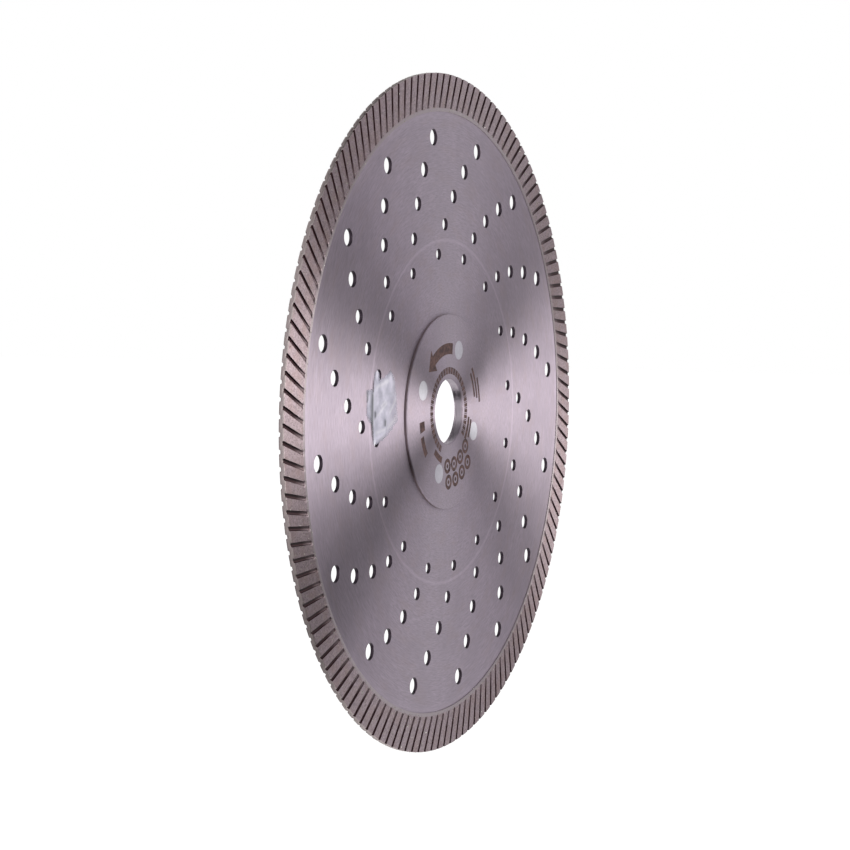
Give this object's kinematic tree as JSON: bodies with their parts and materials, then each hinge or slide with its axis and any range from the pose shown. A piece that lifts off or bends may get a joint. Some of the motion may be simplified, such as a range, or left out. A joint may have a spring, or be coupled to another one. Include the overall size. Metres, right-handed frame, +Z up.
{
  "type": "diamond cutting blade",
  "caption": "Flat round cutting blade for stone: thin drilled steel core, slotted continuous diamond rim and riveted hub plates round a plain bore.",
  "frame": {"origin": "middle of the bore, on the middle plane of the steel core", "axes": "+Y along the bore axis towards the rear of the blade, so the front faces -Y; +Z up, +X to the right seen from the front"},
  "size_m": [0.23, 0.0032, 0.23],
  "materials": {
    "core_steel": "ground in circles, satin",
    "rim_bond": "sintered metal bond with diamond grit, rough",
    "hub_steel": "ground in circles, satin, with brown laser marks on the front",
    "rivet_steel": "ground flush, bright",
    "clear_film": "thin, torn, milky and creased"
  },
  "bodies": {
    "root": {"steel_core": "core_steel", "diamond_rim": "rim_bond", "front_hub_plate": "hub_steel", "rear_hub_plate": "hub_steel", "hub_rivet_1": "rivet_steel", "hub_rivet_2": "rivet_steel", "hub_rivet_3": "rivet_steel", "hub_rivet_4": "rivet_steel", "film_remnant": "clear_film"}
  },
  "joints": []
}
